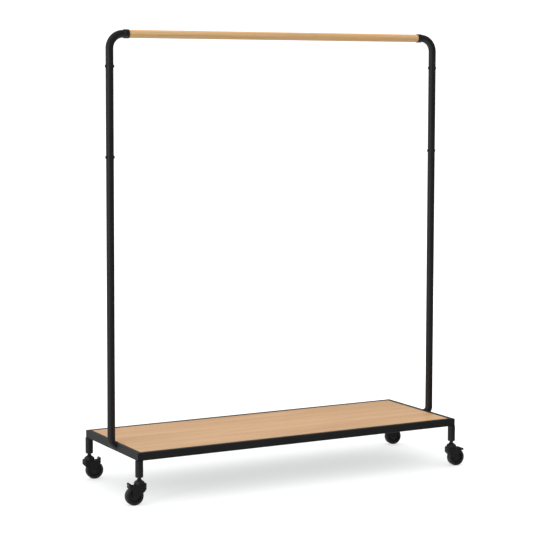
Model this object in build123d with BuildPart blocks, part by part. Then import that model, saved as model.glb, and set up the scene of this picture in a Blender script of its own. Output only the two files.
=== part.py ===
from build123d import *
import math
import os

# Rolling clothes rack: a wooden hanging rail between two bolted tube uprights, standing on a
# shelf frame with four legs and four braked swivel casters.
# Millimetres. +X runs along the rack, +Y to its back, +Z up; the origin is on the floor,
# under the middle of the shelf frame.

# Shelf frame
FRAME_LENGTH = 1190.0
FRAME_DEPTH = 414.0
FRAME_TOP = 163.5
RAIL_WIDTH, RAIL_TALL = 16.0, 25.0
RAIL_WALL = 1.5
RAIL_ROUND = 1.8

# Shelf board, its welded tabs and its screws
BOARD_THICKNESS = 15.0
BOARD_DROP = 0.5
BOARD_GAP = 0.6
TAB_LENGTH, TAB_REACH, TAB_THICKNESS = 30.0, 22.0, 2.0
TAB_SPACING = 480.0
SCREW_HEAD_RADIUS, SCREW_HEAD, SCREW_RADIUS, SCREW_LENGTH = 4.0, 2.2, 2.0, 13.0
SCREW_CLEARANCE = 0.3

# Round tube, used for legs and uprights
TUBE_RADIUS = 12.5
TUBE_WALL = 1.5
BORE_RADIUS = TUBE_RADIUS - TUBE_WALL
SPIGOT_RADIUS = BORE_RADIUS - 0.2
SPIGOT_BORE = SPIGOT_RADIUS - TUBE_WALL
SPIGOT_LENGTH = 50.0

# Legs and their threaded plugs
LEG_INSET = 8.0
LEG_BOTTOM = 86.0
PLUG_FLANGE = 3.0
PLUG_DEPTH = 20.0
CRIMP_HEIGHTS = (9.5, 16.0)
CRIMP_RADIUS, CRIMP_DEPTH = 3.0, 0.8
STUD_RADIUS = 4.0

# Uprights
UPRIGHT_X = 607.0
UPRIGHT_Y = -30.0
FOOT_BEND_RADIUS = 20.0
FOOT_BEND_TOP = FRAME_TOP + 12.0
FOOT_BEND_ANGLE = 90.0
FOOT_BORE_ANGLE = 30.0
LOWER_SEAM = 1049.5
UPPER_SEAM = 1335.0
BOLT_ABOVE_SEAM = 26.0
BOLT_RADIUS, BOLT_HEAD_RADIUS, BOLT_HEAD, NUT_HEAD = 3.0, 5.0, 2.8, 2.2
SOCKET_RADIUS, SOCKET_DEPTH = 2.3, 2.0

# Hanging rail, its collars and the top bends
RAIL_HEIGHT = 1462.5
TOP_BEND_RADIUS = 46.0
COLLAR_START = 47.0
COLLAR_LENGTH = 18.0
COLLAR_RADIUS = 14.6
COLLAR_WEB = 3.5
DOWEL_RADIUS = 13.0

# Caster, in its own frame: stem axis at the origin, floor at z = 0, wheel trailing towards +X
TRAIL = 17.0
WHEEL_RADIUS = 29.0
TYRE_HALF_WIDTH = 9.8
HUB_RADIUS = 22.5
HUB_HALF_WIDTH = 8.8
BOSS_RADIUS, BOSS_HALF_WIDTH = 6.5, 11.0
AXLE_RADIUS = 2.95
RUNNING_CLEARANCE = 0.05
FORK_HALF_WIDTH = 13.6
FORK_CAVITY_HALF_WIDTH = 11.2
NOSE_REACH, NOSE_ROUND, NOSE_TOP = 23.5, 15.0, 66.5
CROWN_BOTTOM, CROWN_TOP = 58.8, 62.0
BELL_RADIUS, BELL_SHOULDER, BELL_TOP = 17.0, 69.0, 76.5
NECK_RADIUS = 6.0
BALL_RADIUS, BALL_RING_RADIUS, BALL_COUNT = 1.8, 11.5, 12
PIN_X, PIN_Z, PIN_RADIUS = 31.5, 59.0, 1.75
PEDAL_ROUND = 3.5
PEDAL_REACH, PEDAL_DROOP = 8.8, 22.0
PEDAL_HALF_WIDTH = 10.8
PEDAL_THROW = 95.0

FRAME_BOTTOM = FRAME_TOP - RAIL_TALL
HALF_LENGTH = FRAME_LENGTH / 2
HALF_DEPTH = FRAME_DEPTH / 2
LEG_X = HALF_LENGTH - LEG_INSET
LEG_Y = HALF_DEPTH - LEG_INSET
BOARD_TOP = FRAME_TOP - BOARD_DROP
BOARD_BOTTOM = BOARD_TOP - BOARD_THICKNESS

# Each corner: where its leg stands, which way its wheel trails, whether its brake is on
CORNERS = {
    "front_left": (-LEG_X, -LEG_Y, 176.0, False),
    "back_left": (-LEG_X, LEG_Y, -6.0, False),
    "front_right": (LEG_X, -LEG_Y, -4.0, True),
    "back_right": (LEG_X, LEG_Y, -8.0, True),
}

os.makedirs("parts", exist_ok=True)


def save(name, shape):
    shape.label = name
    export_step(shape, f"parts/{name}.step")


# ---------------------------------------------------------------- shelf frame rails
# Rectangular tube, mitred at the four corners and welded into one flat rectangle.


def mitred_rail(half_run, half_across):
    """One rail on the -Y side of a frame of these half sizes, running along X."""
    with BuildPart() as rail:
        with BuildSketch(Plane.XY.offset(FRAME_BOTTOM)):
            with BuildLine():
                Polyline(
                    (-half_run, -half_across),
                    (half_run, -half_across),
                    (half_run - RAIL_WIDTH, -half_across + RAIL_WIDTH),
                    (-half_run + RAIL_WIDTH, -half_across + RAIL_WIDTH),
                    close=True,
                )
            make_face()
        extrude(amount=RAIL_TALL)
        long_edges = rail.edges().filter_by(Axis.X)
        fillet(long_edges, RAIL_ROUND)
        bore = (RAIL_WIDTH - 2 * RAIL_WALL, RAIL_TALL - 2 * RAIL_WALL)
        with Locations((0, -half_across + RAIL_WIDTH / 2, FRAME_BOTTOM + RAIL_TALL / 2)):
            Box(2 * half_run, *bore, mode=Mode.SUBTRACT)
    return rail.part


long_rail = mitred_rail(HALF_LENGTH, HALF_DEPTH)
short_rail = mitred_rail(HALF_DEPTH, HALF_LENGTH)
save("front_rail", long_rail)
save("back_rail", long_rail.rotate(Axis.Z, 180))
save("left_end_rail", short_rail.rotate(Axis.Z, -90))
save("right_end_rail", short_rail.rotate(Axis.Z, 90))

# ---------------------------------------------------------------- shelf board
# One veneered board dropped between the rails. It rests on tabs welded inside the rails and
# is screwed to them from below.

half_inner_x = HALF_LENGTH - RAIL_WIDTH
half_inner_y = HALF_DEPTH - RAIL_WIDTH
tab_middle = TAB_REACH / 2
long_side_x = [-TAB_SPACING, 0.0, TAB_SPACING]
tab_places = [(x, -half_inner_y + tab_middle, 0.0) for x in long_side_x]
tab_places += [(x, half_inner_y - tab_middle, 0.0) for x in long_side_x]
tab_places += [(-half_inner_x + tab_middle, 0.0, 90.0), (half_inner_x - tab_middle, 0.0, 90.0)]
screw_places = [(x, y) for x, y, turn in tab_places]

with BuildPart() as shelf_board:
    with BuildSketch(Plane.XY.offset(BOARD_BOTTOM)):
        Rectangle(2 * (half_inner_x - BOARD_GAP), 2 * (half_inner_y - BOARD_GAP))
    extrude(amount=BOARD_THICKNESS)
    chamfer(shelf_board.edges().filter_by(Plane.XY), 0.4)
    with BuildSketch(Plane.XY.offset(BOARD_BOTTOM)):
        with Locations(*screw_places):
            Circle(SCREW_RADIUS + RUNNING_CLEARANCE)
    extrude(amount=SCREW_LENGTH - TAB_THICKNESS + 0.5, mode=Mode.SUBTRACT)
save("shelf_board", shelf_board.part)

with BuildPart() as shelf_tabs:
    with BuildSketch(Plane.XY.offset(BOARD_BOTTOM - TAB_THICKNESS)):
        for x, y, turn in tab_places:
            with Locations(Location((x, y), turn)):
                Rectangle(TAB_LENGTH, TAB_REACH)
                Circle(SCREW_RADIUS + SCREW_CLEARANCE, mode=Mode.SUBTRACT)
    extrude(amount=TAB_THICKNESS)
save("shelf_tabs", shelf_tabs.part)

with BuildPart() as shelf_screws:
    with BuildSketch(Plane.XY.offset(BOARD_BOTTOM - TAB_THICKNESS - SCREW_HEAD)):
        with Locations(*screw_places):
            Circle(SCREW_HEAD_RADIUS)
    extrude(amount=SCREW_HEAD)
    with BuildSketch(Plane.XY.offset(BOARD_BOTTOM - TAB_THICKNESS)):
        with Locations(*screw_places):
            Circle(SCREW_RADIUS)
    extrude(amount=SCREW_LENGTH)
    fillet(shelf_screws.faces().sort_by(Axis.Z).first.edges(), 0.8)
save("shelf_screws", shelf_screws.part)

# ---------------------------------------------------------------- legs
# Short tubes welded under the corners. Each is closed by a flanged plug with the stem's thread,
# held by two crimps in the tube.

with BuildPart() as leg:
    with BuildSketch(Plane.XY.offset(LEG_BOTTOM + PLUG_FLANGE)):
        Circle(TUBE_RADIUS)
    extrude(amount=FRAME_BOTTOM - LEG_BOTTOM - PLUG_FLANGE)
    with BuildSketch(Plane.XY.offset(LEG_BOTTOM + PLUG_FLANGE)):
        Circle(BORE_RADIUS)
    extrude(amount=FRAME_BOTTOM - LEG_BOTTOM - PLUG_FLANGE - 2 * TUBE_WALL, mode=Mode.SUBTRACT)
    crimp_out = TUBE_RADIUS + CRIMP_RADIUS - CRIMP_DEPTH
    with Locations(*[(crimp_out, 0, LEG_BOTTOM + height) for height in CRIMP_HEIGHTS]):
        Sphere(CRIMP_RADIUS, mode=Mode.SUBTRACT)

# The crimps that hold each plug face the rack's outer corner.
for corner, (x, y, heading, braked) in CORNERS.items():
    outward = math.degrees(math.atan2(math.copysign(1, y), math.copysign(1, x)))
    save(f"{corner}_leg", leg.part.moved(Location((x, y, 0), (0, 0, outward))))

with BuildPart() as leg_plugs:
    leg_places = [(x, y) for x, y, heading, braked in CORNERS.values()]
    with BuildSketch(Plane.XY.offset(LEG_BOTTOM)):
        with Locations(*leg_places):
            Circle(TUBE_RADIUS)
    extrude(amount=PLUG_FLANGE)
    fillet(leg_plugs.faces().group_by(Axis.Z)[0].edges(), 2.6)
    with BuildSketch(Plane.XY.offset(LEG_BOTTOM + PLUG_FLANGE)):
        with Locations(*leg_places):
            Circle(BORE_RADIUS - RUNNING_CLEARANCE)
    extrude(amount=PLUG_DEPTH)
    with BuildSketch(Plane.XY.offset(LEG_BOTTOM)):
        with Locations(*leg_places):
            Circle(STUD_RADIUS + RUNNING_CLEARANCE)
    extrude(amount=PLUG_FLANGE + PLUG_DEPTH, mode=Mode.SUBTRACT)
save("leg_plugs", leg_plugs.part)

# ---------------------------------------------------------------- uprights
# Each upright is three tubes. The lower one turns in at its foot and is coped over the end
# rail; every tube carries a reduced spigot at its top, and the next one is bolted over it.

upright_plane = Plane.XZ.offset(-UPRIGHT_Y)


BASE = (Align.CENTER, Align.CENTER, Align.MIN)


def bolt_hole(height):
    """Cuts the bolt's cross hole through the left upright of the part being built."""
    with Locations((-UPRIGHT_X, UPRIGHT_Y, height)):
        Cylinder(
            BOLT_RADIUS + RUNNING_CLEARANCE,
            3 * TUBE_RADIUS,
            rotation=(0, 90, 0),
            mode=Mode.SUBTRACT,
        )


def spigot(seam):
    """Adds the reduced end above a seam and opens its bore down into the tube."""
    with Locations((-UPRIGHT_X, UPRIGHT_Y, seam)):
        Cylinder(SPIGOT_RADIUS, SPIGOT_LENGTH, align=BASE)
    with Locations((-UPRIGHT_X, UPRIGHT_Y, seam - 10)):
        Cylinder(SPIGOT_BORE, SPIGOT_LENGTH + 10, align=BASE, mode=Mode.SUBTRACT)
    bolt_hole(seam + BOLT_ABOVE_SEAM)


with BuildPart() as lower_upright:
    for radius, turn, top, mode in (
        (TUBE_RADIUS, FOOT_BEND_ANGLE, LOWER_SEAM, Mode.ADD),
        (BORE_RADIUS, FOOT_BORE_ANGLE, LOWER_SEAM - 8, Mode.SUBTRACT),
    ):
        with BuildLine(upright_plane) as foot_path:
            straight = Line((-UPRIGHT_X, top), (-UPRIGHT_X, FOOT_BEND_TOP))
            JernArc(straight @ 1, straight % 1, FOOT_BEND_RADIUS, turn)
        with BuildSketch(Plane(origin=(-UPRIGHT_X, UPRIGHT_Y, top), z_dir=(0, 0, -1))):
            Circle(radius)
        sweep(path=foot_path.line, mode=mode)
    with Locations((-HALF_LENGTH, UPRIGHT_Y, FRAME_TOP)):
        Box(50, 80, 50, align=(Align.MIN, Align.CENTER, Align.MAX), mode=Mode.SUBTRACT)
    split(bisect_by=Plane.XY.offset(FRAME_BOTTOM), keep=Keep.TOP)
    spigot(LOWER_SEAM)

with BuildPart() as middle_upright:
    for radius, top, mode in (
        (TUBE_RADIUS, UPPER_SEAM, Mode.ADD),
        (BORE_RADIUS, UPPER_SEAM - 8, Mode.SUBTRACT),
    ):
        with BuildSketch(Plane.XY.offset(LOWER_SEAM)):
            with Locations((-UPRIGHT_X, UPRIGHT_Y)):
                Circle(radius)
        extrude(amount=top - LOWER_SEAM, mode=mode)
    bolt_hole(LOWER_SEAM + BOLT_ABOVE_SEAM)
    spigot(UPPER_SEAM)

with BuildPart() as top_bend:
    with BuildLine(upright_plane) as bend_path:
        rise = Line((-UPRIGHT_X, UPPER_SEAM), (-UPRIGHT_X, RAIL_HEIGHT - TOP_BEND_RADIUS))
        turn = JernArc(rise @ 1, rise % 1, TOP_BEND_RADIUS, -90)
        Line(turn @ 1, (-UPRIGHT_X + COLLAR_START, RAIL_HEIGHT))
    for radius, mode in ((TUBE_RADIUS, Mode.ADD), (BORE_RADIUS, Mode.SUBTRACT)):
        with BuildSketch(Plane(origin=(-UPRIGHT_X, UPRIGHT_Y, UPPER_SEAM), z_dir=(0, 0, 1))):
            Circle(radius)
        sweep(path=bend_path.line, mode=mode)
    bolt_hole(UPPER_SEAM + BOLT_ABOVE_SEAM)

# The collar is a turned cup welded to the end of the bend; the rail's end sits in it.
collar_plane = Plane(
    origin=(-UPRIGHT_X + COLLAR_START, UPRIGHT_Y, RAIL_HEIGHT), x_dir=(0, 1, 0), z_dir=(1, 0, 0)
)
with BuildPart() as collar:
    with BuildSketch(collar_plane):
        Circle(COLLAR_RADIUS)
    extrude(amount=COLLAR_LENGTH)
    chamfer(collar.edges().filter_by(GeomType.CIRCLE).sort_by(Axis.X).first, 2.4)
    with BuildSketch(collar_plane.offset(COLLAR_WEB)):
        Circle(DOWEL_RADIUS + RUNNING_CLEARANCE)
    extrude(amount=COLLAR_LENGTH, mode=Mode.SUBTRACT)
    fillet(collar.edges().filter_by(GeomType.CIRCLE).sort_by(Axis.X).last, 0.6)

for kind, piece in (
    ("lower_upright", lower_upright.part),
    ("middle_upright", middle_upright.part),
    ("top_bend", top_bend.part),
    ("rail_collar", collar.part),
):
    save(f"left_{kind}", piece)
    save(f"right_{kind}", piece.mirror(Plane.YZ))

# The hanging rail: one turned wooden rod held between the two cups.
half_rail = UPRIGHT_X - COLLAR_START - COLLAR_WEB
with BuildPart() as hanging_rail:
    with BuildSketch(Plane(origin=(-half_rail, UPRIGHT_Y, RAIL_HEIGHT), z_dir=(1, 0, 0))):
        Circle(DOWEL_RADIUS)
    extrude(amount=2 * half_rail)
    chamfer(hanging_rail.edges().filter_by(GeomType.CIRCLE), 0.8)
save("hanging_rail", hanging_rail.part)

# Bolts and sleeve nuts across the tube joints, one pair at each seam. Both heads are hollowed
# to sit on the round tube.
bolt_heights = [LOWER_SEAM + BOLT_ABOVE_SEAM, UPPER_SEAM + BOLT_ABOVE_SEAM]
bolt_places = [(side * UPRIGHT_X, UPRIGHT_Y, z) for side in (-1, 1) for z in bolt_heights]
inner_head_places = [
    (side * (UPRIGHT_X - TUBE_RADIUS - BOLT_HEAD / 2 + 1), y, z)
    for side, (x, y, z) in zip((-1, -1, 1, 1), bolt_places)
]
outer_head_places = [
    (side * (UPRIGHT_X + TUBE_RADIUS + NUT_HEAD / 2 - 1), y, z)
    for side, (x, y, z) in zip((-1, -1, 1, 1), bolt_places)
]

with BuildPart() as joint_bolts:
    with Locations(*inner_head_places):
        Cylinder(BOLT_HEAD_RADIUS, BOLT_HEAD + 2, rotation=(0, 90, 0))
    head_faces = joint_bolts.faces().filter_by(Axis.X).group_by(Axis.X)
    fillet([*head_faces[1].edges(), *head_faces[2].edges()], 1.4)
    with Locations(*bolt_places):
        Cylinder(TUBE_RADIUS, 30, mode=Mode.SUBTRACT)
    with Locations(*bolt_places):
        Cylinder(BOLT_RADIUS, 2 * TUBE_RADIUS + 1, rotation=(0, 90, 0))
    for side in (-1, 1):
        head_x = side * (UPRIGHT_X - TUBE_RADIUS - BOLT_HEAD)
        with BuildSketch(Plane(origin=(head_x, UPRIGHT_Y, 0), x_dir=(0, 1, 0), z_dir=(1, 0, 0))):
            with Locations(*[(0, z) for z in bolt_heights]):
                RegularPolygon(SOCKET_RADIUS, 6)
        extrude(amount=side * SOCKET_DEPTH, mode=Mode.SUBTRACT)
save("joint_bolts", joint_bolts.part)

with BuildPart() as joint_nuts:
    with Locations(*outer_head_places):
        Cylinder(BOLT_HEAD_RADIUS, NUT_HEAD + 2, rotation=(0, 90, 0))
    head_faces = joint_nuts.faces().filter_by(Axis.X).group_by(Axis.X)
    fillet([*head_faces[0].edges(), *head_faces[-1].edges()], 1.2)
    with Locations(*bolt_places):
        Cylinder(TUBE_RADIUS, 30, mode=Mode.SUBTRACT)
    with Locations(*bolt_places):
        Cylinder(BOLT_RADIUS, 2 * TUBE_RADIUS + 1, rotation=(0, 90, 0), mode=Mode.SUBTRACT)
save("joint_nuts", joint_nuts.part)

# ---------------------------------------------------------------- caster pieces
# Built once in the caster's own frame and set at each corner afterwards.

with BuildPart() as caster_stem:
    with BuildSketch(Plane.XZ):
        with BuildLine():
            Polyline(
                (0, LEG_BOTTOM + PLUG_FLANGE + PLUG_DEPTH),
                (STUD_RADIUS, LEG_BOTTOM + PLUG_FLANGE + PLUG_DEPTH),
                (STUD_RADIUS, LEG_BOTTOM),
                (NECK_RADIUS, LEG_BOTTOM),
                (NECK_RADIUS, BELL_TOP + 4.5),
                (8.5, BELL_TOP + 1.6),
                (8.5, BELL_TOP),
                (STUD_RADIUS, BELL_TOP),
                (STUD_RADIUS, CROWN_BOTTOM - 0.5),
                (6.5, CROWN_BOTTOM - 0.5),
                (6.5, CROWN_BOTTOM - 2.5),
                (0, CROWN_BOTTOM - 2.5),
                close=True,
            )
        make_face()
    revolve(axis=Axis.Z)

BELL_SKIRT_BOTTOM = CROWN_TOP + 1.0
RACE_HEIGHT = CROWN_TOP + 2 * BALL_RADIUS + 2 * RUNNING_CLEARANCE
with BuildPart() as caster_bell:
    with BuildSketch(Plane.XZ):
        with BuildLine():
            Polyline(
                (9.0, BELL_TOP),
                (STUD_RADIUS + RUNNING_CLEARANCE, BELL_TOP),
                (STUD_RADIUS + RUNNING_CLEARANCE, RACE_HEIGHT),
                (BELL_RADIUS - 1.6, RACE_HEIGHT),
                (BELL_RADIUS - 1.6, BELL_SKIRT_BOTTOM),
                (BELL_RADIUS, BELL_SKIRT_BOTTOM),
                (BELL_RADIUS, BELL_SHOULDER),
            )
            RadiusArc((BELL_RADIUS, BELL_SHOULDER), (9.0, BELL_TOP), -10.5)
        make_face()
    revolve(axis=Axis.Z)

with BuildPart() as caster_balls:
    ball_height = CROWN_TOP + RUNNING_CLEARANCE + BALL_RADIUS
    with Locations((0, 0, ball_height)):
        with PolarLocations(BALL_RING_RADIUS, BALL_COUNT):
            Sphere(BALL_RADIUS)

# Fork: pressed from one sheet. The round nose leads, the cheeks carry the axle, and two ears
# behind the crown hold the brake pin.
with BuildPart() as nose_plan:
    with BuildSketch():
        with Locations((NOSE_ROUND - NOSE_REACH, 0)):
            Circle(NOSE_ROUND)
            Rectangle(80, 2 * NOSE_ROUND, align=(Align.MIN, Align.CENTER))
    extrude(amount=NOSE_TOP)
    fillet(nose_plan.faces().sort_by(Axis.Z).last.edges().filter_by(GeomType.CIRCLE), 2.0)

with BuildPart() as caster_fork:
    with BuildSketch(Plane.XZ) as cheek_outline:
        with BuildLine():
            Polyline(
                (-NOSE_REACH - 1, 52.0),
                (-NOSE_REACH - 1, NOSE_TOP),
                (-12.0, NOSE_TOP),
                (-12.0, CROWN_TOP),
                (20.0, CROWN_TOP),
                (36.0, CROWN_TOP),
                (36.0, 54.0),
                (25.0, 47.0),
                (25.0, 21.5),
                (9.5, 21.5),
                close=True,
            )
        make_face()
        fillet(cheek_outline.vertices().group_by(Axis.Y)[0], 7.0)
        fillet(cheek_outline.vertices().group_by(Axis.X)[-1], 3.0)
    extrude(amount=FORK_HALF_WIDTH, both=True)
    cheeks = caster_fork.faces().filter_by(Axis.Y)
    fillet([*cheeks.first.edges(), *cheeks.last.edges()], 0.8)
    add(nose_plan.part, mode=Mode.INTERSECT)
    with Locations((0, 0, CROWN_TOP)):
        Cylinder(BELL_RADIUS + 0.5, 20, align=BASE, mode=Mode.SUBTRACT)
    with BuildSketch(Plane.XZ):
        with BuildLine():
            Polyline(
                (-17.0, CROWN_BOTTOM),
                (19.0, CROWN_BOTTOM),
                (19.0, 70.0),
                (40.0, 70.0),
                (40.0, 5.0),
                (-40.0, 5.0),
                (-40.0, 45.0),
                (-13.6, 45.0),
                close=True,
            )
        make_face()
    extrude(amount=FORK_CAVITY_HALF_WIDTH, both=True, mode=Mode.SUBTRACT)
    with BuildSketch(Plane.XY.offset(CROWN_BOTTOM - 1)):
        Circle(STUD_RADIUS + RUNNING_CLEARANCE)
    extrude(amount=CROWN_TOP - CROWN_BOTTOM + 2, mode=Mode.SUBTRACT)
    with BuildSketch(Plane.XZ):
        with Locations((TRAIL, WHEEL_RADIUS)):
            Circle(AXLE_RADIUS + RUNNING_CLEARANCE)
        with Locations((PIN_X, PIN_Z)):
            Circle(PIN_RADIUS + RUNNING_CLEARANCE)
    extrude(amount=FORK_HALF_WIDTH, both=True, mode=Mode.SUBTRACT)

with BuildPart() as caster_axle:
    with BuildSketch(Plane.XZ):
        with Locations((TRAIL, WHEEL_RADIUS)):
            Circle(AXLE_RADIUS)
    extrude(amount=FORK_HALF_WIDTH, both=True)
    for side in (-1, 1):
        with BuildSketch(Plane.XZ.offset(side * FORK_HALF_WIDTH)):
            with Locations((TRAIL, WHEEL_RADIUS)):
                Circle(5.0)
        extrude(amount=side * 1.4)
    rivet_faces = caster_axle.faces().filter_by(Axis.Y).group_by(Axis.Y)
    fillet([*rivet_faces[0].edges(), *rivet_faces[-1].edges()], 1.0)

with BuildPart() as caster_brake_pin:
    with BuildSketch(Plane.XZ):
        with Locations((PIN_X, PIN_Z)):
            Circle(PIN_RADIUS)
    extrude(amount=FORK_HALF_WIDTH, both=True)

# Wheel: a moulded tread on a hub with a dished web, both turned about the axle.
axle_axis = Axis((TRAIL, 0, WHEEL_RADIUS), (0, 1, 0))
wheel_plane = Plane(origin=(TRAIL, 0, WHEEL_RADIUS), x_dir=(0, 1, 0), z_dir=(1, 0, 0))

with BuildPart() as caster_tyre:
    with BuildSketch(wheel_plane) as tread_section:
        with Locations((0, (WHEEL_RADIUS + HUB_RADIUS) / 2)):
            Rectangle(2 * TYRE_HALF_WIDTH, WHEEL_RADIUS - HUB_RADIUS)
        fillet(tread_section.vertices().group_by(Axis.Y)[-1], 3.0)
    revolve(axis=axle_axis)

with BuildPart() as caster_hub:
    with BuildSketch(wheel_plane):
        with BuildLine():
            Polyline(
                (-BOSS_HALF_WIDTH, AXLE_RADIUS + RUNNING_CLEARANCE),
                (-BOSS_HALF_WIDTH, BOSS_RADIUS - 0.6),
                (-4.0, BOSS_RADIUS),
                (-4.0, HUB_RADIUS - 3.5),
                (-HUB_HALF_WIDTH, HUB_RADIUS - 2.5),
                (-HUB_HALF_WIDTH, HUB_RADIUS),
                (HUB_HALF_WIDTH, HUB_RADIUS),
                (HUB_HALF_WIDTH, HUB_RADIUS - 2.5),
                (4.0, HUB_RADIUS - 3.5),
                (4.0, BOSS_RADIUS),
                (BOSS_HALF_WIDTH, BOSS_RADIUS - 0.6),
                (BOSS_HALF_WIDTH, AXLE_RADIUS + RUNNING_CLEARANCE),
                close=True,
            )
        make_face()
    revolve(axis=axle_axis)

# Brake pedal, drawn pressed: a cam that bears on the tread and a short thick toe lever.
to_wheel = math.atan2(WHEEL_RADIUS - PIN_Z, TRAIL - PIN_X)
CAM_REACH = math.hypot(TRAIL - PIN_X, WHEEL_RADIUS - PIN_Z) - WHEEL_RADIUS - 0.3
cam_tip = (PIN_X + CAM_REACH * math.cos(to_wheel), PIN_Z + CAM_REACH * math.sin(to_wheel))
toe_x = PIN_X + PEDAL_REACH * math.cos(math.radians(PEDAL_DROOP))
toe_z = PIN_Z - PEDAL_REACH * math.sin(math.radians(PEDAL_DROOP))
with BuildPart() as caster_pedal:
    with BuildSketch(Plane.XZ):
        with Locations((PIN_X, PIN_Z), (toe_x, toe_z)):
            Circle(PEDAL_ROUND)
        make_hull()
        with BuildLine():
            Polyline((PIN_X - 3.2, PIN_Z - 1.0), cam_tip, (PIN_X + 2.2, PIN_Z - 2.4), close=True)
        make_face()
    extrude(amount=PEDAL_HALF_WIDTH, both=True)
    pedal_sides = caster_pedal.faces().filter_by(Axis.Y)
    fillet([*pedal_sides.first.edges(), *pedal_sides.last.edges()], 0.6)
    with BuildSketch(Plane.XZ):
        with Locations((PIN_X, PIN_Z)):
            Circle(PIN_RADIUS + RUNNING_CLEARANCE)
    extrude(amount=PEDAL_HALF_WIDTH, both=True, mode=Mode.SUBTRACT)

# ---------------------------------------------------------------- casters at the corners
fixed_to_fork = {
    "stem": caster_stem.part,
    "bell": caster_bell.part,
    "balls": caster_balls.part,
    "fork": caster_fork.part,
    "axle": caster_axle.part,
    "brake_pin": caster_brake_pin.part,
    "tyre": caster_tyre.part,
    "hub": caster_hub.part,
}
brake_axis = Axis((PIN_X, 0, PIN_Z), (0, -1, 0))
released_pedal = caster_pedal.part.rotate(brake_axis, PEDAL_THROW)

for corner, (x, y, heading, braked) in CORNERS.items():
    place = Location((x, y, 0), (0, 0, heading))
    pedal = caster_pedal.part if braked else released_pedal
    for kind, piece in {**fixed_to_fork, "brake_pedal": pedal}.items():
        save(f"{corner}_caster_{kind}", piece.moved(place))
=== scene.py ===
import math

import bmesh
import bpy
from mathutils import Matrix, Vector


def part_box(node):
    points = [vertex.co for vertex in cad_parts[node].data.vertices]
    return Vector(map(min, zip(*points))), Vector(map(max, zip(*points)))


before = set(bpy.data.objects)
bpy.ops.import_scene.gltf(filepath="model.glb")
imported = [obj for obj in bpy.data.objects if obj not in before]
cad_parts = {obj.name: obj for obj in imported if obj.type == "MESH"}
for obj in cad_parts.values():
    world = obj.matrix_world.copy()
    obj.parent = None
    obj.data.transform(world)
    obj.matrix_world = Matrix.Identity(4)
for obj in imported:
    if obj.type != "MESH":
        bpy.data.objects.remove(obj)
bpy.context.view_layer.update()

# ---------------------------------------------------------------- camera and studio
# A long lens at chest height, looking down a little on the rack's left front corner. The room is a
# plain white sweep, lit by a wide soft light overhead and a narrow strip light on the front left,
# and by the paper's own glow, which is painted light.

scene = bpy.context.scene
scene.view_settings.view_transform = "Standard"
scene.view_settings.look = "None"

CAMERA_PLACE = (-2.7878, -5.0436, 1.3178)
CAMERA_YAW, CAMERA_PITCH, CAMERA_ROLL = -28.463, 4.611, 0.109

camera_data = bpy.data.cameras.new("camera")
camera_data.sensor_width = 36
camera_data.lens = 117.03715
camera_data.shift_x = 0.0122
camera_data.shift_y = -0.0872
camera_data.clip_end = 100
camera = bpy.data.objects.new("camera", camera_data)
camera_turn = (
    Matrix.Rotation(math.radians(CAMERA_YAW), 4, "Z")
    @ Matrix.Rotation(math.radians(90 - CAMERA_PITCH), 4, "X")
    @ Matrix.Rotation(math.radians(CAMERA_ROLL), 4, "Z")
)
camera.matrix_world = Matrix.Translation(CAMERA_PLACE) @ camera_turn
scene.collection.objects.link(camera)
scene.camera = camera


class Finish:
    """One socket of a finish. Python arithmetic on it adds Math nodes to the same node tree."""

    def __init__(self, tree, socket=None):
        self.tree = tree
        self.socket = socket

    def add(self, kind, settings, sockets, output=0):
        """Adds a node: its settings first, then the value or link of each named socket."""
        node = self.tree.nodes.new(kind)
        for name, value in settings.items():
            setattr(node, name, value)
        for name, value in sockets.items():
            if isinstance(value, Finish):
                self.tree.links.new(value.socket, node.inputs[name])
            else:
                node.inputs[name].default_value = value
        return Finish(self.tree, node.outputs[output])

    def math(self, operation, first, second):
        return self.add("ShaderNodeMath", {"operation": operation}, {0: first, 1: second})

    def __add__(self, other):
        return self.math("ADD", self, other)

    def __radd__(self, other):
        return self.math("ADD", other, self)

    def __sub__(self, other):
        return self.math("SUBTRACT", self, other)

    def __rsub__(self, other):
        return self.math("SUBTRACT", other, self)

    def __mul__(self, other):
        return self.math("MULTIPLY", self, other)

    def __rmul__(self, other):
        return self.math("MULTIPLY", other, self)

    def band(self, low, high):
        """0 below low, 1 above high, smooth between."""
        return self.add(
            "ShaderNodeMapRange",
            {"interpolation_type": "SMOOTHSTEP"},
            {"Value": self, "From Min": low, "From Max": high},
        )

    def mix(self, first, second):
        """Mixes two colours, with this value as the share of the second."""
        settings = {"data_type": "RGBA", "clamp_factor": True}
        pair = [(*c, 1) if isinstance(c, tuple) else c for c in (first, second)]
        return self.add("ShaderNodeMix", settings, {0: self, 6: pair[0], 7: pair[1]}, 2)


def new_finish(name):
    """An empty material, its start for building, and where on the object each point lies."""
    material = bpy.data.materials.new(name)
    material.use_nodes = True
    material.node_tree.nodes.clear()
    start = Finish(material.node_tree)
    place = start.add("ShaderNodeTexCoord", {}, {}, 3)
    return material, start, place


def stretched(place, scale, offset=(0, 0, 0)):
    return place.add("ShaderNodeMapping", {}, {"Vector": place, "Scale": scale, "Location": offset})


def grain(place, scale, detail=3.0, roughness=0.5, distortion=0.0):
    return place.add(
        "ShaderNodeTexNoise",
        {},
        {
            "Vector": place,
            "Scale": scale,
            "Detail": detail,
            "Roughness": roughness,
            "Distortion": distortion,
        },
    )


def surface(start, sockets):
    """Ends a finish with the surface shader."""
    shader = start.add("ShaderNodeBsdfPrincipled", {}, sockets)
    output = start.tree.nodes.new("ShaderNodeOutputMaterial")
    start.tree.links.new(shader.socket, output.inputs["Surface"])


def raised(start, height, depth, strength):
    """A normal pushed in and out by a height from 0 to 1, depth metres deep."""
    sockets = {"Height": height, "Distance": depth, "Strength": strength}
    return start.add("ShaderNodeBump", {}, sockets)


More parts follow.
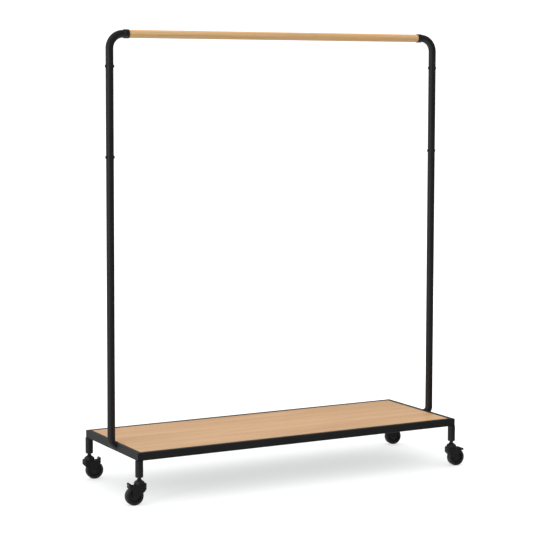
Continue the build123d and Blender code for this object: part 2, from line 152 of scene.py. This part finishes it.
def link_mesh(name, shape):
    """Makes a bmesh an object at the origin, with its place in its mesh."""
    mesh = bpy.data.meshes.new(name)
    shape.to_mesh(mesh)
    shape.free()
    made = bpy.data.objects.new(name, mesh)
    scene.collection.objects.link(made)
    return made


# The sweep: a floor that curves up into a wall well behind the rack. Its paper glows as painted
# light: weaker near the rack, where the glow lifts the soft light's shadow, and full white further
# off, so that it stays white where the soft light doesn't reach. It throws no light on the rack.
SWEEP_HALF_WIDTH, SWEEP_FRONT = 30, -12
CURVE_START, CURVE_RADIUS, CURVE_STEPS = 6, 4, 16
WALL_RISE = 8

sweep_shape = bmesh.new()
edge = [sweep_shape.verts.new((x, SWEEP_FRONT, 0)) for x in (-SWEEP_HALF_WIDTH, SWEEP_HALF_WIDTH)]
lead = [sweep_shape.edges.new(edge)]
flat = bmesh.ops.extrude_edge_only(sweep_shape, edges=lead)["geom"]
far_verts = [g for g in flat if isinstance(g, bmesh.types.BMVert)]
bmesh.ops.translate(sweep_shape, verts=far_verts, vec=(0, CURVE_START - SWEEP_FRONT, 0))
flat_edges = [g for g in flat if isinstance(g, bmesh.types.BMEdge)]
bend_edges = [e for e in flat_edges if all(v.co.y > 0 for v in e.verts)]
swept = bmesh.ops.spin(
    sweep_shape,
    geom=bend_edges + far_verts,
    cent=(0, CURVE_START, CURVE_RADIUS),
    axis=(1, 0, 0),
    angle=math.radians(90),
    steps=CURVE_STEPS,
    use_merge=False,
    use_duplicate=False,
)
wall_foot = [g for g in swept["geom_last"] if isinstance(g, bmesh.types.BMEdge)]
wall = bmesh.ops.extrude_edge_only(sweep_shape, edges=wall_foot)["geom"]
wall_verts = [g for g in wall if isinstance(g, bmesh.types.BMVert)]
bmesh.ops.translate(sweep_shape, verts=wall_verts, vec=(0, 0, WALL_RISE))
bmesh.ops.recalc_face_normals(sweep_shape, faces=sweep_shape.faces)
for face in sweep_shape.faces:
    face.smooth = True
sweep = link_mesh("floor", sweep_shape)
sweep.visible_diffuse = False
sweep.visible_glossy = False

# Painted light: the paper's glow is SHADED_GLOW near the rack and rises to FAR_GLOW from
# GLOW_LEVELS metres out.
SHADED_GLOW, FAR_GLOW = 0.54, 1.06
GLOW_RISES, GLOW_LEVELS = 0.8, 2.4

paper, start, place = new_finish("studio paper")
away = start.add("ShaderNodeVectorMath", {"operation": "LENGTH"}, {0: place}, 1)
painted_paper_light = away.band(GLOW_RISES, GLOW_LEVELS) * (FAR_GLOW - SHADED_GLOW) + SHADED_GLOW
surface(
    start,
    {
        "Base Color": (0.54, 0.545, 0.55, 1),
        "Roughness": 0.95,
        "Specular IOR Level": 0.0,
        "Emission Color": painted_paper_light.mix((0, 0, 0), (0.995, 1.0, 1.005)),
        "Emission Strength": 1.0,
    },
)
sweep.data.materials.append(paper)

# The room beyond the paper: brighter behind the rack and to its left, dim in front.
ROOM_DIM, ROOM_BRIGHT, ROOM_FLOOR = 0.11, 0.50, 0.75
ROOM_AS_SEEN = 1.05
WINDOW_SIDE = Vector((-0.74, 0.65, 0.15)).normalized()

world = bpy.data.worlds.new("studio")
scene.world = world
world.use_nodes = True
world.node_tree.nodes.clear()
room = Finish(world.node_tree)
direction = room.add("ShaderNodeTexCoord", {}, {}, 0)
window_side = room.add(
    "ShaderNodeVectorMath",
    {"operation": "DOT_PRODUCT"},
    {0: direction, 1: WINDOW_SIDE},
    1,
)
height = room.add("ShaderNodeSeparateXYZ", {}, {0: direction}, 2)
wall_light = window_side.band(-0.35, 0.85) * (ROOM_BRIGHT - ROOM_DIM) + ROOM_DIM
room_light = wall_light + (0 - height).band(0.3, 0.8) * ROOM_FLOOR
seen = room.add("ShaderNodeLightPath", {}, {}, 0)
strength = seen * ROOM_AS_SEEN + (1 - seen) * room_light
glow = room.add("ShaderNodeBackground", {}, {"Color": (1, 1, 1, 1), "Strength": strength})
room_output = world.node_tree.nodes.new("ShaderNodeOutputWorld")
world.node_tree.links.new(glow.socket, room_output.inputs["Surface"])


def soft_light(name, power, size, position, target, mirrored):
    lamp = bpy.data.lights.new(name, "AREA")
    lamp.shape = "RECTANGLE"
    lamp.size, lamp.size_y = size
    lamp.energy = power
    stand = bpy.data.objects.new(name, lamp)
    stand.visible_glossy = mirrored
    scene.collection.objects.link(stand)
    aim = (Vector(target) - Vector(position)).to_track_quat("-Z", "Y")
    stand.matrix_world = Matrix.Translation(position) @ aim.to_matrix().to_4x4()


soft_light("overhead light", 1130, (20.0, 16.0), (-0.3, -2.2, 4.0), (-0.3, -2.2, 0), False)
soft_light("strip light", 26, (0.7, 2.6), (-4.4, -1.9, 1.5), (0, 0, 0.9), True)

# ---------------------------------------------------------------- shelf frame and legs
# Rectangular steel tube, mitred and welded into a flat rectangle, with round legs welded under
# its corners. All of it has one satin black powder coat, with the coat's fine orange-peel.


def powder_coat(name, colour, roughness):
    material, start, place = new_finish(name)
    cloud = grain(place, 9.0, 3.0)
    peel = grain(place, 620.0, 2.0, 0.55)
    dust = grain(place, 2400.0, 1.0)
    tone = cloud.band(0.35, 0.7).mix(
        tuple(c * 0.9 for c in colour), tuple(c * 1.12 for c in colour)
    )
    surface(
        start,
        {
            "Base Color": tone,
            "Roughness": roughness + (cloud - 0.5) * 0.08 + (dust - 0.5) * 0.1,
            "Specular IOR Level": 0.5,
            "Normal": raised(start, peel, 0.00012, 0.6),
        },
    )
    return material


frame_coat = powder_coat("satin black powder coat", (0.0125, 0.0125, 0.0135), 0.46)


def dress(material, *names):
    """Gives CAD nodes their finish."""
    for name in names:
        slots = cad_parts[name].data.materials
        slots.clear()
        slots.append(material)


dress(frame_coat, "front_rail", "back_rail", "left_end_rail", "right_end_rail", "shelf_tabs")
corners = ["front_left", "front_right", "back_left", "back_right"]
dress(frame_coat, *[f"{corner}_leg" for corner in corners])

# ---------------------------------------------------------------- leg plugs
# Moulded black plastic plugs, pushed up into the open legs. They take the caster stems.


def moulded(name, colour, roughness, scale):
    material, start, place = new_finish(name)
    mottle = grain(place, 45.0, 3.0)
    texture = grain(place, scale, 2.0)
    surface(
        start,
        {
            "Base Color": mottle.band(0.3, 0.7).mix(colour, tuple(c * 1.25 for c in colour)),
            "Roughness": roughness + (mottle - 0.5) * 0.12,
            "Normal": raised(start, texture, 0.00006, 0.5),
        },
    )
    return material


plug_plastic = moulded("plug plastic", (0.014, 0.014, 0.015), 0.5, 1300.0)
dress(plug_plastic, "leg_plugs")

# ---------------------------------------------------------------- shelf board
# One board faced with oak veneer, its grain along the rack, under a thin satin lacquer. Its
# underside has a plain grey backing. Black zinc screws hold it from below.

BACKING_THICKNESS = 0.0004
BACKING_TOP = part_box("shelf_board")[0][2] + BACKING_THICKNESS


def oak(name, long_scale, pale, mid, dark, roughness):
    """Straight-grained oak with its grain along X, and a plain grey backing under the board."""
    material, start, place = new_finish(name)
    wander = grain(stretched(place, (1.6, 9, 9)), 1.0, 3.0, 0.6)
    bands = grain(stretched(place, (0.7 * long_scale, 22, 22)), 1.0, 4.0, 0.6, 0.9)
    streaks = grain(stretched(place, (2.2 * long_scale, 160, 160)), 1.0, 4.0, 0.6, 0.3)
    fibres = grain(stretched(place, (14 * long_scale, 900, 900)), 1.0, 3.0, 0.6)
    pores = grain(stretched(place, (26 * long_scale, 1500, 1500)), 1.0, 1.0).band(0.62, 0.74)
    tone = bands * 0.5 + streaks * 0.35 + wander * 0.15
    body = tone.band(0.42, 0.58).mix(mid, pale)
    shaded = (wander.band(0.42, 0.62) * 0.28).mix(body, dark)
    streaked = (streaks.band(0.50, 0.64) * 0.45).mix(shaded, dark)
    fibred = (fibres.band(0.5, 0.75) * 0.22).mix(streaked, dark)
    porous = (pores * 0.35).mix(fibred, tuple(c * 0.55 for c in dark))
    low = place.add("ShaderNodeSeparateXYZ", {}, {0: place}, 2)
    faced = low.math("LESS_THAN", low, BACKING_TOP).mix(porous, (0.30, 0.295, 0.285))
    height = fibres * 0.4 + (1 - pores) * 0.6
    surface(
        start,
        {
            "Base Color": faced,
            "Roughness": roughness + (fibres - 0.5) * 0.12 + pores * 0.1,
            "Specular IOR Level": 0.5,
            "Normal": raised(start, height, 0.00008, 0.5),
        },
    )
    return material


shelf_oak = oak(
    "oak veneer", 1.0, (0.76, 0.485, 0.265), (0.66, 0.385, 0.185), (0.44, 0.215, 0.082), 0.30
)
dress(shelf_oak, "shelf_board")


def blackened(name, colour, roughness):
    material, start, place = new_finish(name)
    blotch = grain(place, 260.0, 3.0)
    surface(
        start,
        {
            "Base Color": blotch.band(0.3, 0.7).mix(colour, tuple(c * 1.8 for c in colour)),
            "Metallic": 0.6,
            "Roughness": roughness + (blotch - 0.5) * 0.2,
            "Normal": raised(start, grain(place, 1500.0, 2.0), 0.00003, 0.5),
        },
    )
    return material


black_zinc = blackened("black zinc", (0.03, 0.03, 0.032), 0.4)
dress(black_zinc, "shelf_screws")

# ---------------------------------------------------------------- uprights
# Round tube in three lengths a side, bolted together with black zinc fasteners, in the frame's
# powder coat. The cups that take the wooden rail are welded on and coated with them.

for side in ("left", "right"):
    tubes = ("lower_upright", "middle_upright", "top_bend", "rail_collar")
    dress(frame_coat, *[f"{side}_{tube}" for tube in tubes])
dress(black_zinc, "joint_bolts", "joint_nuts")

# ---------------------------------------------------------------- hanging rail
# A turned wooden rod with straight grain, lacquered like the shelf.

rail_wood = oak(
    "turned rail wood", 0.8, (0.88, 0.58, 0.28), (0.80, 0.48, 0.21), (0.56, 0.28, 0.10), 0.36
)
dress(rail_wood, "hanging_rail")

# ---------------------------------------------------------------- casters
# Swivel casters: black painted steel fork and raceway on a ring of bearing balls, grey-black
# tread on a nylon hub, and a nylon brake pedal.

caster_coat = powder_coat("black caster paint", (0.014, 0.014, 0.015), 0.38)
tread = moulded("moulded tread", (0.022, 0.022, 0.023), 0.62, 1100.0)
hub_nylon = moulded("hub nylon", (0.016, 0.016, 0.017), 0.42, 1600.0)
pedal_nylon = moulded("pedal nylon", (0.013, 0.013, 0.014), 0.45, 1300.0)
ball_steel, start, place = new_finish("bearing steel")
surface(
    start,
    {
        "Base Color": grain(place, 800.0).mix((0.5, 0.5, 0.5), (0.62, 0.61, 0.6)),
        "Metallic": 1.0,
        "Roughness": 0.25,
    },
)

for corner in corners:
    caster = f"{corner}_caster_"
    dress(caster_coat, *[caster + part for part in ("stem", "bell", "fork", "axle", "brake_pin")])
    dress(ball_steel, caster + "balls")
    dress(tread, caster + "tyre")
    dress(hub_nylon, caster + "hub")
    dress(pedal_nylon, caster + "brake_pedal")
